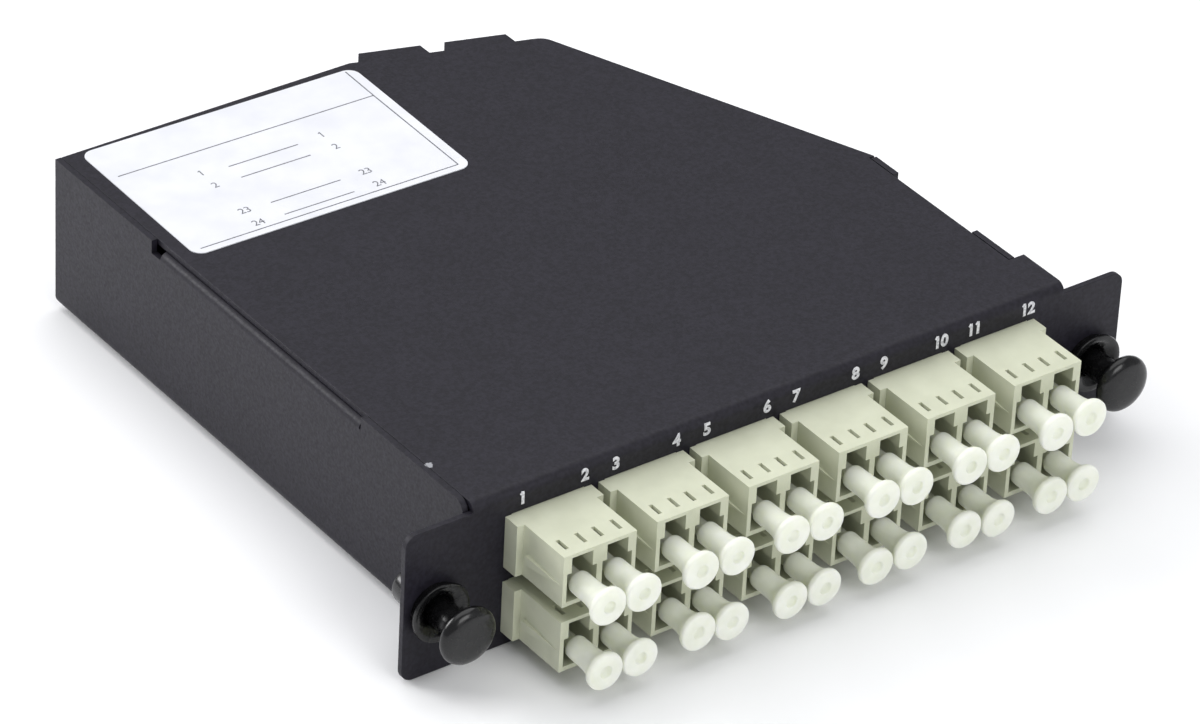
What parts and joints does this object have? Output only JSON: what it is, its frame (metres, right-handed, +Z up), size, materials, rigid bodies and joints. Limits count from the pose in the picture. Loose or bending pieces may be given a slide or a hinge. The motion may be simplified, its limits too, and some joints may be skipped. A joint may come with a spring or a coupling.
{
  "type": "fibre cassette",
  "caption": "Folded steel patching module: a flat tray and cover with rows of duplex ports in front, slanted rear ports and a push latch in each ear.",
  "frame": {"origin": "middle of the underside of the whole part's box", "axes": "+Y from the front panel to the rear ports, +Z up, +X along the panel to the right seen from the front"},
  "size_m": [0.132, 0.1402, 0.0271],
  "materials": {
    "cover_coat": "fine black powder coat on steel",
    "dust_cap": "soft milky plastic",
    "fibre_leg": "soft coated fibre",
    "fibre_trunk": "smooth round tube",
    "label": "matt white printed film",
    "latch": "glossy black moulding",
    "lc_adapter": "satin beige moulding",
    "mpo_adapter": "satin black moulding",
    "mpo_cap": "satin grey moulding",
    "mpo_plug": "satin beige moulding",
    "post": "plain steel",
    "screw": "zinc-plated steel",
    "tray_coat": "fine black powder coat on steel"
  },
  "bodies": {
    "cassette": {"base_tray": "tray_coat", "cover_panel": "cover_coat", "cover_posts": "post", "cover_screws": "screw", "dust_cap_01": "dust_cap", "dust_cap_02": "dust_cap", "dust_cap_03": "dust_cap", "dust_cap_04": "dust_cap", "dust_cap_05": "dust_cap", "dust_cap_06": "dust_cap", "dust_cap_07": "dust_cap", "dust_cap_08": "dust_cap", "dust_cap_09": "dust_cap", "dust_cap_10": "dust_cap", "dust_cap_11": "dust_cap", "dust_cap_12": "dust_cap", "dust_cap_13": "dust_cap", "dust_cap_14": "dust_cap", "dust_cap_15": "dust_cap", "dust_cap_16": "dust_cap", "dust_cap_17": "dust_cap", "dust_cap_18": "dust_cap", "dust_cap_19": "dust_cap", "dust_cap_20": "dust_cap", "dust_cap_21": "dust_cap", "dust_cap_22": "dust_cap", "dust_cap_23": "dust_cap", "dust_cap_24": "dust_cap", "fibre_harness_1": "fibre_leg", "fibre_harness_2": "fibre_leg", "fibre_trunk_1": "fibre_trunk", "fibre_trunk_2": "fibre_trunk", "label": "label", "lc_adapter_01": "lc_adapter", "lc_adapter_02": "lc_adapter", "lc_adapter_03": "lc_adapter", "lc_adapter_04": "lc_adapter", "lc_adapter_05": "lc_adapter", "lc_adapter_06": "lc_adapter", "lc_adapter_07": "lc_adapter", "lc_adapter_08": "lc_adapter", "lc_adapter_09": "lc_adapter", "lc_adapter_10": "lc_adapter", "lc_adapter_11": "lc_adapter", "lc_adapter_12": "lc_adapter", "left_latch_grommet": "latch", "mpo_adapter_1": "mpo_adapter", "mpo_adapter_2": "mpo_adapter", "mpo_dust_cap_1": "mpo_cap", "mpo_dust_cap_2": "mpo_cap", "mpo_plug_1": "mpo_plug", "mpo_plug_2": "mpo_plug", "right_latch_grommet": "latch"},
    "left_plunger": {"left_latch_plunger": "latch"},
    "right_plunger": {"right_latch_plunger": "latch"}
  },
  "joints": [
    {"name": "left_latch_slide", "type": "slide", "parent": "cassette", "child": "left_plunger", "axis": [0, 1, 0], "range_m": [0, 0.0045]},
    {"name": "right_latch_slide", "type": "slide", "parent": "cassette", "child": "right_plunger", "axis": [0, 1, 0], "range_m": [0, 0.0045]}
  ]
}
